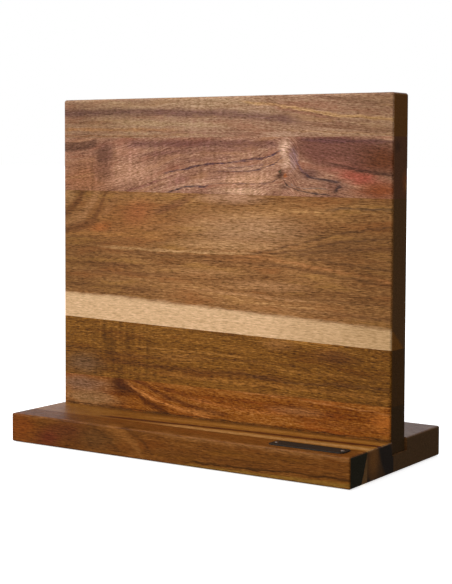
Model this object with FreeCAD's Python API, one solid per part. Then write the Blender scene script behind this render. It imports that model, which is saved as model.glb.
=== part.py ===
"""Two-sided magnetic knife block, in millimetres.

An upright board stands in a long groove in a flat base.  Both are edge-glued from solid
acacia staves.  The board is a resawn pair of leaves, front and rear, glued face to face
over rows of bar magnets that lie against steel keeper strips.  Screws come up through
the base into the board, four pads carry the base, and a blank plate is pinned on top of
the base's front stave.

The origin is at the bottom centre of the whole block, on the surface it stands on.
+X runs along the width to the right, +Y from the front to the back, and +Z up.
"""

import FreeCAD
import Part
import os

Vector = FreeCAD.Vector
Y_AXIS = Vector(0, 1, 0)
Z_AXIS = Vector(0, 0, 1)

# ---- Base ----
BASE_WIDTH = 300.0
BASE_DEPTH = 141.0
BASE_THICKNESS = 22.2
BASE_EDGE_RADIUS = 1.5
BASE_FRONT_STAVE_DEPTH = 24.5
BASE_MIDDLE_STAVE_DEPTH = 39.6

# ---- Groove that holds the board ----
GROOVE_DEPTH = 9.5
GROOVE_SIDE_CLEARANCE = 0.1

# ---- Board, a pair of leaves ----
BOARD_THICKNESS = 23.0
BOARD_SETBACK = 62.5            # from the base's front edge to the board's front face
BOARD_END_INSET = 1.5           # how far each end stands in from the base's end
BOARD_EDGE_RADIUS = 2.0
# Heights of the staves at mid-width, from the groove's floor up.
STAVE_HEIGHTS = (33.9, 43.6, 104.5, 42.7, 30.8)
# How much higher each glue joint between staves is at the left end than at mid-width.
JOINT_RISES = (0.0, 3.4, 1.1, 0.0)

# ---- Bar magnets and keeper strips ----
MAGNET_LENGTH = 80.0
MAGNET_HEIGHT = 20.0
MAGNET_THICKNESS = 7.0
KEEPER_THICKNESS = 3.0
POCKET_CLEARANCE = 0.5          # round the edges of a magnet or a keeper
MAGNETS_PER_ROW = 3
MAGNET_STAVES = (2, 3, 4)       # staves that hold a row, counted from the bottom

# ---- Countersunk wood screws, from below ----
SCREW_LENGTH = 30.0
SCREW_RADIUS = 2.0
SCREW_HEAD_RADIUS = 4.0
SCREW_HEAD_SUNK = 1.0           # how far the head lies inside the underside
SCREW_TIP_LENGTH = 5.0
SCREW_TIP_RADIUS = 0.4
SCREW_RECESS_WIDTH = 0.9
SCREW_RECESS_SPAN = 4.4
SCREW_RECESS_DEPTH = 1.5
SCREW_COUNT = 4
SCREW_END_DISTANCE = 36.0       # from the board's end to the outermost screws

# ---- Round pads under the base ----
PAD_RADIUS = 6.0
PAD_THICKNESS = 2.0
PAD_RECESS_DEPTH = 1.2
PAD_INSET = 15.0                # from the base's edges to a pad's centre
PAD_EDGE_RADIUS = 0.3

# ---- Blank plate and its pins ----
PLATE_LENGTH = 59.5
PLATE_DEPTH = 14.0
PLATE_THICKNESS = 0.8
PLATE_CORNER_RADIUS = 3.0
PLATE_EASING = 0.2
PLATE_FRONT_SETBACK = 6.7
PLATE_END_SETBACK = 9.8
PIN_HEAD_RADIUS = 1.5
PIN_HEAD_HEIGHT = 0.7
PIN_RADIUS = 0.7
PIN_LENGTH = 8.0
PIN_INSET = 3.5                 # from the plate's end to a pin's centre

# ---- Fit shared by every round part in its hole ----
ROUND_CLEARANCE = 0.05

# ---- Places that follow from the sizes ----
BASE_BOTTOM_Z = PAD_THICKNESS - PAD_RECESS_DEPTH
BASE_TOP_Z = BASE_BOTTOM_Z + BASE_THICKNESS
BASE_FRONT_Y = -BASE_DEPTH / 2
GROOVE_FLOOR_Z = BASE_TOP_Z - GROOVE_DEPTH
BOARD_WIDTH = BASE_WIDTH - 2 * BOARD_END_INSET
BOARD_HEIGHT = sum(STAVE_HEIGHTS)
BOARD_FRONT_Y = BASE_FRONT_Y + BOARD_SETBACK
GLUE_PLANE_Y = BOARD_FRONT_Y + BOARD_THICKNESS / 2
BOARD_REAR_Y = BOARD_FRONT_Y + BOARD_THICKNESS
MAGNET_GAP = (BOARD_WIDTH - MAGNETS_PER_ROW * MAGNET_LENGTH) / (MAGNETS_PER_ROW + 1)
SCREW_HEAD_Z = BASE_BOTTOM_Z + SCREW_HEAD_SUNK
PLATE_RIGHT_X = BASE_WIDTH / 2 - PLATE_END_SETBACK
PLATE_LEFT_X = PLATE_RIGHT_X - PLATE_LENGTH
PLATE_FRONT_Y = BASE_FRONT_Y + PLATE_FRONT_SETBACK
OVERSHOOT = 1.0                 # how far a cutting solid runs past what it cuts


def box(low, high):
    """A box between two opposite corners."""
    size = [b - a for a, b in zip(low, high)]
    return Part.makeBox(size[0], size[1], size[2], Vector(*low))


def cylinder(radius, foot, height):
    """An upright cylinder standing on the point foot."""
    return Part.makeCylinder(radius, height, Vector(*foot), Z_AXIS)


def edges_where(solid, wanted):
    """The straight edges of a solid whose two end points satisfy wanted(start, end)."""
    found = []
    for edge in solid.Edges:
        start, end = edge.Vertexes[0].Point, edge.Vertexes[-1].Point
        if wanted(start, end):
            found.append(edge)
    return found


def cut_all(solid, tools):
    """The solid with every tool cut from it."""
    return solid.cut(Part.makeCompound(tools)) if tools else solid


def single_solid(shape):
    """The one solid of a shape, which a cut may have wrapped in a compound."""
    if len(shape.Solids) != 1:
        raise ValueError("a piece came out as %d solids" % len(shape.Solids))
    return shape.Solids[0]


# ---- Places of repeated parts ----

def even_places(count, low, high):
    """Places spread evenly from low to high."""
    step = (high - low) / (count - 1)
    return [low + index * step for index in range(count)]


def screw_places():
    """Each screw's X; all of them stand under the board's glue plane."""
    reach = BOARD_WIDTH / 2 - SCREW_END_DISTANCE
    return even_places(SCREW_COUNT, -reach, reach)


def pad_places():
    """Each pad's name and centre."""
    half_width = BASE_WIDTH / 2 - PAD_INSET
    half_depth = BASE_DEPTH / 2 - PAD_INSET
    places = {}
    for side, x in (("left", -half_width), ("right", half_width)):
        for end, y in (("front", -half_depth), ("rear", half_depth)):
            places["foot_pad_%s_%s" % (end, side)] = (x, y)
    return places


def pin_places():
    """Each plate pin's centre."""
    y = PLATE_FRONT_Y + PLATE_DEPTH / 2
    return [(PLATE_LEFT_X + PIN_INSET, y), (PLATE_RIGHT_X - PIN_INSET, y)]


def joint_height(index, x):
    """The height of a glue joint at x; joint 0 is the board's foot, the last its top."""
    middle = GROOVE_FLOOR_Z + sum(STAVE_HEIGHTS[:index])
    if index in (0, len(STAVE_HEIGHTS)):
        return middle
    return middle - JOINT_RISES[index - 1] * x / (BOARD_WIDTH / 2)


def row_height(stave):
    """The height of the middle of the magnet row in a stave, counted from 1."""
    return (joint_height(stave - 1, 0) + joint_height(stave, 0)) / 2


def magnet_lefts():
    """The left end of each magnet in a row."""
    pitch = MAGNET_LENGTH + MAGNET_GAP
    first = -BOARD_WIDTH / 2 + MAGNET_GAP
    return [first + index * pitch for index in range(MAGNETS_PER_ROW)]


# ---- Magnets and keepers ----

def magnet(left, height, side, clearance=0.0):
    """One bar magnet, or with a clearance its pocket.  side is -1 in the front leaf."""
    inner = GLUE_PLANE_Y + side * KEEPER_THICKNESS / 2
    outer = inner + side * MAGNET_THICKNESS
    low = (left - clearance, min(inner, outer), height - MAGNET_HEIGHT / 2 - clearance)
    high = (left + MAGNET_LENGTH + clearance, max(inner, outer), height + MAGNET_HEIGHT / 2 + clearance)
    return box(low, high)


def keeper(height, clearance=0.0):
    """One keeper strip behind a whole row, or with a clearance its channel."""
    reach = BOARD_WIDTH / 2 - MAGNET_GAP + clearance
    half_height = MAGNET_HEIGHT / 2 + clearance
    low = (-reach, GLUE_PLANE_Y - KEEPER_THICKNESS / 2, height - half_height)
    high = (reach, GLUE_PLANE_Y + KEEPER_THICKNESS / 2, height + half_height)
    return box(low, high)


def pocket_tools():
    """Everything that is milled out of the leaves for the magnets and keepers."""
    tools = []
    for stave in MAGNET_STAVES:
        height = row_height(stave)
        tools.append(keeper(height, POCKET_CLEARANCE))
        for left in magnet_lefts():
            tools.append(magnet(left, height, -1, POCKET_CLEARANCE))
            tools.append(magnet(left, height, 1, POCKET_CLEARANCE))
    return tools


def make_magnets():
    """The magnets of both leaves and the keeper strips, by node name."""
    nodes = {}
    for row, stave in enumerate(MAGNET_STAVES, 1):
        height = row_height(stave)
        nodes["keeper_strip_%d" % row] = keeper(height)
        for place, left in enumerate(magnet_lefts(), 1):
            nodes["front_magnet_%d_%d" % (row, place)] = magnet(left, height, -1)
            nodes["rear_magnet_%d_%d" % (row, place)] = magnet(left, height, 1)
    return nodes


# ---- Screws, pins and their holes ----

def turned(points, place):
    """A solid turned about a vertical axis through place, from (radius, height) points."""
    outline = [Vector(place[0] + r, place[1], z) for r, z in points]
    face = Part.Face(Part.makePolygon(outline + outline[:1]))
    return face.revolve(Vector(place[0], place[1], 0), Z_AXIS, 360)


def screw_profile(clearance):
    """A countersunk screw's half outline, or with a clearance that of its hole."""
    cone_height = SCREW_HEAD_RADIUS - SCREW_RADIUS
    tip_z = SCREW_HEAD_Z + SCREW_LENGTH + clearance
    shank = SCREW_RADIUS + clearance
    return [
        (0, SCREW_HEAD_Z),
        (SCREW_HEAD_RADIUS + clearance, SCREW_HEAD_Z),
        (shank, SCREW_HEAD_Z + cone_height),
        (shank, tip_z - SCREW_TIP_LENGTH),
        (SCREW_TIP_RADIUS + clearance, tip_z),
        (0, tip_z),
    ]


def screw(x):
    """One screw with a cross recess in its head."""
    body = turned(screw_profile(0.0), (x, GLUE_PLANE_Y))
    half_span, half_width = SCREW_RECESS_SPAN / 2, SCREW_RECESS_WIDTH / 2
    low_z, high_z = SCREW_HEAD_Z - OVERSHOOT, SCREW_HEAD_Z + SCREW_RECESS_DEPTH
    bars = []
    for dx, dy in ((half_span, half_width), (half_width, half_span)):
        low = (x - dx, GLUE_PLANE_Y - dy, low_z)
        high = (x + dx, GLUE_PLANE_Y + dy, high_z)
        bars.append(box(low, high))
    return single_solid(body.cut(bars[0].fuse(bars[1])))


def screw_hole(x):
    """The screw's hole, open through the underside, where the countersink starts."""
    hole = turned(screw_profile(ROUND_CLEARANCE), (x, GLUE_PLANE_Y))
    foot = (x, GLUE_PLANE_Y, BASE_BOTTOM_Z - OVERSHOOT)
    mouth = cylinder(SCREW_HEAD_RADIUS + ROUND_CLEARANCE, foot, SCREW_HEAD_Z - foot[2])
    return hole.fuse(mouth)


def pin(place):
    """One plate pin: a domed head on the plate and a plain shank down into the base."""
    seat_z = BASE_TOP_Z + PLATE_THICKNESS
    sphere_radius = (PIN_HEAD_RADIUS ** 2 + PIN_HEAD_HEIGHT ** 2) / (2 * PIN_HEAD_HEIGHT)
    centre = Vector(place[0], place[1], seat_z + PIN_HEAD_HEIGHT - sphere_radius)
    head = Part.makeSphere(sphere_radius, centre)
    head = head.common(cylinder(PIN_HEAD_RADIUS, (place[0], place[1], seat_z), PIN_HEAD_HEIGHT))
    shank = cylinder(PIN_RADIUS, (place[0], place[1], seat_z - PIN_LENGTH), PIN_LENGTH)
    return single_solid(head.fuse(shank).removeSplitter())


def pin_hole(place):
    """A pin's hole through the plate and into the base's front stave."""
    depth = PIN_LENGTH + ROUND_CLEARANCE
    foot = (place[0], place[1], BASE_TOP_Z + PLATE_THICKNESS - depth)
    return cylinder(PIN_RADIUS + ROUND_CLEARANCE, foot, depth + OVERSHOOT)


def make_fasteners():
    """The screws and the plate pins, each set in one node."""
    return {
        "base_screws": Part.makeCompound([screw(x) for x in screw_places()]),
        "plate_pins": Part.makeCompound([pin(place) for place in pin_places()]),
    }


# ---- Pads and plate ----

def pad(place):
    """One round pad, eased round the edge that meets the table."""
    solid = cylinder(PAD_RADIUS, (place[0], place[1], 0), PAD_THICKNESS)
    rim = [e for e in solid.Edges if e.BoundBox.ZMax < PAD_EDGE_RADIUS]
    return solid.makeFillet(PAD_EDGE_RADIUS, rim)


def pad_recess(place):
    """The shallow round recess that a pad is stuck into."""
    foot = (place[0], place[1], BASE_BOTTOM_Z - OVERSHOOT)
    return cylinder(PAD_RADIUS + ROUND_CLEARANCE, foot, OVERSHOOT + PAD_RECESS_DEPTH)


def make_pads():
    """The four pads, by node name."""
    return {name: pad(place) for name, place in pad_places().items()}


def make_plate():
    """The blank plate: round corners, an eased upper edge and two pin holes."""
    low = (PLATE_LEFT_X, PLATE_FRONT_Y, BASE_TOP_Z)
    high = (PLATE_RIGHT_X, PLATE_FRONT_Y + PLATE_DEPTH, BASE_TOP_Z + PLATE_THICKNESS)
    plate = box(low, high)
    corners = edges_where(plate, lambda a, b: abs(a.z - b.z) > PLATE_THICKNESS / 2)
    plate = plate.makeFillet(PLATE_CORNER_RADIUS, corners)
    rim = [e for e in plate.Edges if e.BoundBox.ZMin > BASE_TOP_Z + PLATE_THICKNESS / 2]
    plate = plate.makeChamfer(PLATE_EASING, rim)
    plate = cut_all(plate, [pin_hole(place) for place in pin_places()])
    return {"name_plate": single_solid(plate)}


# ---- Base ----

def base_blank():
    """The base as one block with every edge eased, before it is parted into staves."""
    low = (-BASE_WIDTH / 2, BASE_FRONT_Y, BASE_BOTTOM_Z)
    high = (BASE_WIDTH / 2, -BASE_FRONT_Y, BASE_TOP_Z)
    block = box(low, high)
    return block.makeFillet(BASE_EDGE_RADIUS, block.Edges)


def groove():
    """The groove, open at both ends, that the board stands in."""
    low = (-BASE_WIDTH, BOARD_FRONT_Y - GROOVE_SIDE_CLEARANCE, GROOVE_FLOOR_Z)
    high = (BASE_WIDTH, BOARD_REAR_Y + GROOVE_SIDE_CLEARANCE, BASE_TOP_Z + OVERSHOOT)
    return box(low, high)


def make_base():
    """The base's three staves, by node name."""
    tools = [groove()]
    tools += [screw_hole(x) for x in screw_places()]
    tools += [pad_recess(place) for place in pad_places().values()]
    tools += [pin_hole(place) for place in pin_places()]
    blank = base_blank()
    seams = [BASE_FRONT_Y - OVERSHOOT]
    seams.append(BASE_FRONT_Y + BASE_FRONT_STAVE_DEPTH)
    seams.append(seams[1] + BASE_MIDDLE_STAVE_DEPTH)
    seams.append(-BASE_FRONT_Y + OVERSHOOT)
    nodes = {}
    for name, front, rear in zip(("front", "middle", "rear"), seams[:-1], seams[1:]):
        slab = box((-BASE_WIDTH, front, -OVERSHOOT), (BASE_WIDTH, rear, BASE_TOP_Z + OVERSHOOT))
        stave = cut_all(blank.common(slab), tools)
        nodes["base_%s_stave" % name] = single_solid(stave)
    return nodes


# ---- Board ----

def board_blank():
    """The board as one block, eased along its upright and top edges."""
    low = (-BOARD_WIDTH / 2, BOARD_FRONT_Y, GROOVE_FLOOR_Z)
    high = (BOARD_WIDTH / 2, BOARD_REAR_Y, GROOVE_FLOOR_Z + BOARD_HEIGHT)
    block = box(low, high)
    floor = GROOVE_FLOOR_Z + BOARD_HEIGHT / 2
    eased = edges_where(block, lambda a, b: max(a.z, b.z) > floor)
    return block.makeFillet(BOARD_EDGE_RADIUS, eased)


def stave_slab(index, front, rear):
    """The space of one stave, between two glue joints and two planes facing front and rear."""
    half = BOARD_WIDTH / 2 + OVERSHOOT
    below = -OVERSHOOT if index == 0 else 0.0
    above = OVERSHOOT if index == len(STAVE_HEIGHTS) - 1 else 0.0
    corners = []
    for x, joint, offset in ((-half, index, below), (half, index, below), (half, index + 1, above),
                             (-half, index + 1, above)):
        corners.append(Vector(x, front, joint_height(joint, x) + offset))
    face = Part.Face(Part.makePolygon(corners + corners[:1]))
    return face.extrude(Y_AXIS * (rear - front))


def make_leaf(name, front, rear, blank, tools):
    """One leaf's staves, counted from the bottom, by node name."""
    nodes = {}
    for index in range(len(STAVE_HEIGHTS)):
        stave = cut_all(blank.common(stave_slab(index, front, rear)), tools)
        nodes["%s_leaf_stave_%d" % (name, index + 1)] = single_solid(stave)
    return nodes


def make_board():
    """Both leaves of the board, by node name."""
    tools = pocket_tools() + [screw_hole(x) for x in screw_places()]
    blank = board_blank()
    nodes = make_leaf("front", BOARD_FRONT_Y, GLUE_PLANE_Y, blank, tools)
    nodes.update(make_leaf("rear", GLUE_PLANE_Y, BOARD_REAR_Y, blank, tools))
    return nodes


def main():
    """Builds every node and writes one STEP file for each."""
    nodes = {}
    for make in (make_base, make_board, make_magnets, make_fasteners, make_pads, make_plate):
        nodes.update(make())
    os.makedirs("parts", exist_ok=True)
    for name, shape in nodes.items():
        shape.exportStep("parts/%s.step" % name)
        print("%-22s %2d solid(s) %12.1f mm3" % (name, len(shape.Solids), shape.Volume))
    print("%d nodes" % len(nodes))


main()
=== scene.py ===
"""Looks of a free-standing magnetic knife block with two working faces.

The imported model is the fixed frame: every wood stave, the plate, the pads, the magnets and the
keeper strips keep their modelled shape and are given finishes here.  The wood is a solid
figure: it is worked out from the place inside the piece, so faces, edges and end grain agree.
Lengths in the finishes are millimetres, lengths of meshes, lights and camera are metres.
"""

import logging
import math
from dataclasses import dataclass, field, fields
from enum import Enum
from typing import Callable, Iterable, Sequence, Union

import bmesh
import bpy
from mathutils import Matrix, Vector


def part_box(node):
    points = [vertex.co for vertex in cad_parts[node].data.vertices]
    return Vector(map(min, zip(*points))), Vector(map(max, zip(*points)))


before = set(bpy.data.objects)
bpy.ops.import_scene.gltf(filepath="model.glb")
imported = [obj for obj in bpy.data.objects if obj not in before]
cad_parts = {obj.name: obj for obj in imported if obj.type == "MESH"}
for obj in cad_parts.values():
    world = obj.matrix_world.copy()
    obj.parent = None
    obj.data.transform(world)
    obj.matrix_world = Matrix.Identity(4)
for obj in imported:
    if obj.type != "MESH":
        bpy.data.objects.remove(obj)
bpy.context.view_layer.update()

MM = 0.001
FULL_DRIFT_AND_PAINTED_SHADE = (0.55, 0.50, 0.36)     # what a colour is multiplied by where a stave is at its darkest: partly the wood's own tone, partly painted shade towards the right-hand end
CURVE_REACH = 170.0             # the furthest place along a stave that a curve has to reach, in millimetres
LOG = logging.getLogger("knife_block")

Socket = bpy.types.NodeSocket
Value = Union[float, Socket]
Colour = tuple[float, float, float]


def tone(red: float, green: float, blue: float) -> Colour:
    """A colour given in screen values, as the linear values that shaders use.

    Args:
        red: its red part, from 0 to 255.
        green: its green part.
        blue: its blue part.

    Returns:
        The three parts, each from 0 to 1.
    """
    def linear(value: float) -> float:
        """One part, by the usual screen curve."""
        share = value / 255.0
        return share / 12.92 if share <= 0.04045 else ((share + 0.055) / 1.055) ** 2.4
    return linear(red), linear(green), linear(blue)


class Cut(Enum):
    """Which way a stave lies: its face looks forwards, or its face looks up."""

    UPRIGHT = "upright"
    FLAT = "flat"


# ---------------------------------------------------------------- node graphs


class Graph:
    """A node tree, with a short method for each kind of node."""

    def __init__(self, tree: bpy.types.NodeTree) -> None:
        """Takes the tree that the nodes go into."""
        self.tree = tree

    def put(self, socket: Socket, value: Union[Value, Sequence[float]]) -> None:
        """Links value to a socket, or sets it there if it is a plain number or colour.

        Args:
            socket: the input that takes the value.
            value: another node's output, a number, or the parts of a colour or vector.
        """
        if isinstance(value, bpy.types.NodeSocket):
            self.tree.links.new(value, socket)
        elif isinstance(value, (int, float)):
            socket.default_value = value
        else:
            size = len(socket.default_value)
            socket.default_value = (tuple(value) + (1.0,))[:size]

    def math(self, operation: str, *values: Value) -> Socket:
        """One step of arithmetic.

        Args:
            operation: the node's own name for the step.
            values: up to three values.

        Returns:
            The result.
        """
        node = self.tree.nodes.new("ShaderNodeMath")
        node.operation = operation
        for socket, value in zip(node.inputs, values):
            self.put(socket, value)
        return node.outputs[0]

    def add(self, a: Value, b: Value) -> Socket:
        """a + b."""
        return self.math("ADD", a, b)

    def subtract(self, a: Value, b: Value) -> Socket:
        """a - b."""
        return self.math("SUBTRACT", a, b)

    def times(self, a: Value, b: Value) -> Socket:
        """a * b."""
        return self.math("MULTIPLY", a, b)

    def scaled(self, a: Value, factor: float, offset: float = 0.0) -> Socket:
        """a * factor + offset."""
        return self.math("MULTIPLY_ADD", a, factor, offset)

    def distance(self, a: Socket, b: Socket) -> Socket:
        """The length of a step of a one way and b the other."""
        return self.math("SQRT", self.add(self.times(a, a), self.times(b, b)))

    def vector(self, x: Value, y: Value, z: Value) -> Socket:
        """Joins three values.

        Args:
            x: the first part.
            y: the second part.
            z: the third part.

        Returns:
            The vector.
        """
        node = self.tree.nodes.new("ShaderNodeCombineXYZ")
        for socket, value in zip(node.inputs, (x, y, z)):
            self.put(socket, value)
        return node.outputs[0]

    def split(self, vector: Socket) -> tuple[Socket, Socket, Socket]:
        """Takes a vector apart.

        Args:
            vector: the vector.

        Returns:
            Its three parts.
        """
        node = self.tree.nodes.new("ShaderNodeSeparateXYZ")
        self.put(node.inputs[0], vector)
        return node.outputs[0], node.outputs[1], node.outputs[2]

    def place_mm(self) -> tuple[Socket, Socket, Socket]:
        """Reads the place inside the piece.

        Returns:
            Its X, Y and Z, in millimetres.
        """
        coordinates = self.tree.nodes.new("ShaderNodeTexCoord")
        scale = self.tree.nodes.new("ShaderNodeVectorMath")
        scale.operation = "SCALE"
        self.put(scale.inputs[0], coordinates.outputs["Object"])
        scale.inputs["Scale"].default_value = 1.0 / MM
        return self.split(scale.outputs[0])

    def facing(self) -> tuple[Socket, Socket, Socket]:
        """The three parts of the surface's own direction."""
        return self.split(self.tree.nodes.new("ShaderNodeNewGeometry").outputs["Normal"])

    def noise(self, vector: Socket, detail: float = 2.0, rough: float = 0.5) -> Socket:
        """Smooth noise, one lump per unit of vector.

        Args:
            vector: the place that it is read at.
            detail: how many finer layers it carries.
            rough: how strong each finer layer is beside the one before.

        Returns:
            A value from 0 to 1, about 0.5.
        """
        node = self.tree.nodes.new("ShaderNodeTexNoise")
        self.put(node.inputs["Vector"], vector)
        node.inputs["Scale"].default_value = 1.0
        node.inputs["Detail"].default_value = detail
        node.inputs["Roughness"].default_value = rough
        return node.outputs["Fac"]

    def step(self, value: Value, low: Value, high: Value) -> Socket:
        """A smooth step up.

        Args:
            value: what it looks at.
            low: where it starts to rise.
            high: where it is at its top.

        Returns:
            0 below low, 1 above high.
        """
        node = self.tree.nodes.new("ShaderNodeMapRange")
        node.interpolation_type = "SMOOTHSTEP"
        for name, item in (("Value", value), ("From Min", low), ("From Max", high)):
            self.put(node.inputs[name], item)
        return node.outputs["Result"]

    def fade(self, value: Value, low: Value, high: Value) -> Socket:
        """The other way round: 1 below low, 0 above high."""
        return self.subtract(1.0, self.step(value, low, high))

    def mix(self, fac: Value, a: Union[Socket, Colour], b: Union[Socket, Colour],
            blend: str = "MIX") -> Socket:
        """Turns one colour towards another.

        Args:
            fac: how far, from 0 to 1.
            a: the colour below.
            b: the colour above.
            blend: the node's own name for how they join.

        Returns:
            The mixed colour.
        """
        node = self.tree.nodes.new("ShaderNodeMix")
        node.data_type = "RGBA"
        node.blend_type = blend
        node.clamp_factor = True
        for socket, value in ((node.inputs[0], fac), (node.inputs[6], a), (node.inputs[7], b)):
            self.put(socket, value)
        return node.outputs[2]

    def warm(self, light: Socket) -> Socket:
        """A multiplier for colours that grows more orange as it darkens."""
        return self.vector(light, self.math("POWER", light, 1.1), self.math("POWER", light, 1.5))

    def ramp(self, fac: Value, stops: Iterable[tuple[float, Colour]]) -> Socket:
        """A colour looked up along a row of stops.

        Args:
            fac: the place along the row, from 0 to 1.
            stops: the (place, colour) of each stop, in order.

        Returns:
            The colour.
        """
        node = self.tree.nodes.new("ShaderNodeValToRGB")
        self.put(node.inputs[0], fac)
        elements = node.color_ramp.elements
        stops = list(stops)
        while len(elements) < len(stops):
            elements.new(0.5)
        for element, (place, colour) in zip(elements, stops):
            element.position = place
            element.color = (*colour, 1.0)
        return node.outputs["Color"]

    def course(self, along: Value, points: Sequence[tuple[float, float]]) -> Socket:
        """A smooth line through points, read at a place along it.

        Args:
            along: the place along the line, in millimetres.
            points: (along, across) places that the line goes through, in order.

        Returns:
            The line's place across, in millimetres.
        """
        node = self.tree.nodes.new("ShaderNodeFloatCurve")
        self.put(node.inputs["Value"], self.scaled(along, 1 / (2 * CURVE_REACH), 0.5))
        curve = node.mapping.curves[0]
        low = min(y for _, y in points) - 1.0
        span = max(y for _, y in points) + 1.0 - low
        while len(curve.points) < len(points):
            curve.points.new(0.5, 0.5)
        for point, (x, y) in zip(curve.points, points):
            point.location = (0.5 + 0.5 * x / CURVE_REACH, (y - low) / span)
            point.handle_type = "AUTO_CLAMPED"
        node.mapping.extend = "HORIZONTAL"
        node.mapping.update()
        return self.scaled(node.outputs["Value"], span, low)

    def nested(self, name: str, values: dict[str, Socket], make: "Nest") -> Socket:
        """Works a number out in a group of its own, which keeps a large tree quick to build.

        Args:
            name: the group's name.
            values: the sockets that the group reads, by name.
            make: builds the group's nodes from its own graph and inputs.

        Returns:
            The number.
        """
        group = bpy.data.node_groups.new(name, "ShaderNodeTree")
        for item in values:
            group.interface.new_socket(item, in_out="INPUT", socket_type="NodeSocketFloat")
        group.interface.new_socket("Result", in_out="OUTPUT", socket_type="NodeSocketFloat")
        inner = Graph(group)
        entry = group.nodes.new("NodeGroupInput")
        result = make(inner, {item: entry.outputs[item] for item in values})
        inner.put(group.nodes.new("NodeGroupOutput").inputs[0], result)
        node = self.tree.nodes.new("ShaderNodeGroup")
        node.node_tree = group
        for item, value in values.items():
            self.put(node.inputs[item], value)
        return node.outputs[0]


Nest = Callable[[Graph, dict[str, Socket]], Socket]


class Finish(Graph):
    """The node tree of one material, around one principled shader."""

    def __init__(self, name: str) -> None:
        """Starts the material.

        Args:
            name: its name.
        """
        self.material = bpy.data.materials.new(name)
        self.material.use_nodes = True
        super().__init__(self.material.node_tree)
        self.tree.nodes.clear()
        self.shader = self.tree.nodes.new("ShaderNodeBsdfPrincipled")
        output = self.tree.nodes.new("ShaderNodeOutputMaterial")
        self.tree.links.new(self.shader.outputs["BSDF"], output.inputs["Surface"])

    def bump(self, height: Socket, depth: float, strength: float = 1.0) -> None:
        """Gives the shader a relief.

        Args:
            height: the relief, from 0 to 1.
            depth: how high 1 stands over 0, in millimetres.
            strength: how much of it the light sees.
        """
        node = self.tree.nodes.new("ShaderNodeBump")
        node.inputs["Strength"].default_value = strength
        node.inputs["Distance"].default_value = depth * MM
        self.put(node.inputs["Height"], height)
        self.put(self.shader.inputs["Normal"], node.outputs["Normal"])

    def finish(self, **constants: Union[float, Colour]) -> bpy.types.Material:
        """Sets the values that are the same all over.

        Args:
            constants: the shader's inputs by name, with _ for a space.

        Returns:
            The finished material.
        """
        for name, value in constants.items():
            self.put(self.shader.inputs[name.replace("_", " ")], value)
        return self.material


# ---------------------------------------------------------------- camera, light, floor


@dataclass(frozen=True)
class Viewpoint:
    """The main camera, seen from the block's front right."""

    place: tuple[float, float, float] = (0.5985, -0.9074, 0.2206)
    heading: float = 33.243      # degrees to the left of straight ahead
    dip: float = 3.254           # degrees below level
    roll: float = 0.233          # degrees
    lens: float = 88.19          # millimetres
    sensor: float = 36.0         # millimetres
    shift: float = -0.0854       # upwards, in widths of the view
    nearest: float = 0.05        # the closest thing it sees, in metres

    def build(self) -> None:
        """Makes the camera and hands it to the scene."""
        data = bpy.data.cameras.new("main_camera")
        data.lens = self.lens
        data.sensor_width = self.sensor
        data.shift_y = self.shift
        data.clip_start = self.nearest
        camera = bpy.data.objects.new("main_camera", data)
        turn = Matrix.Rotation(math.radians(self.heading), 4, "Z")
        tilt = Matrix.Rotation(math.radians(90.0 - self.dip), 4, "X")
        roll = Matrix.Rotation(math.radians(self.roll), 4, "Z")
        camera.matrix_world = Matrix.Translation(self.place) @ turn @ tilt @ roll
        bpy.context.scene.collection.objects.link(camera)
        bpy.context.scene.camera = camera
        LOG.info("camera ready")


@dataclass(frozen=True)
class Glow:
    """A soft bright part of the sky.

    Attributes:
        towards: the direction of its middle.
        strength: its brightness there.
        reach: the cosine of the angle at which it ends.
        tint: its colour.
    """

    towards: tuple[float, float, float]
    strength: float
    reach: float
    tint: Colour = (1.0, 1.0, 1.0)


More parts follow.
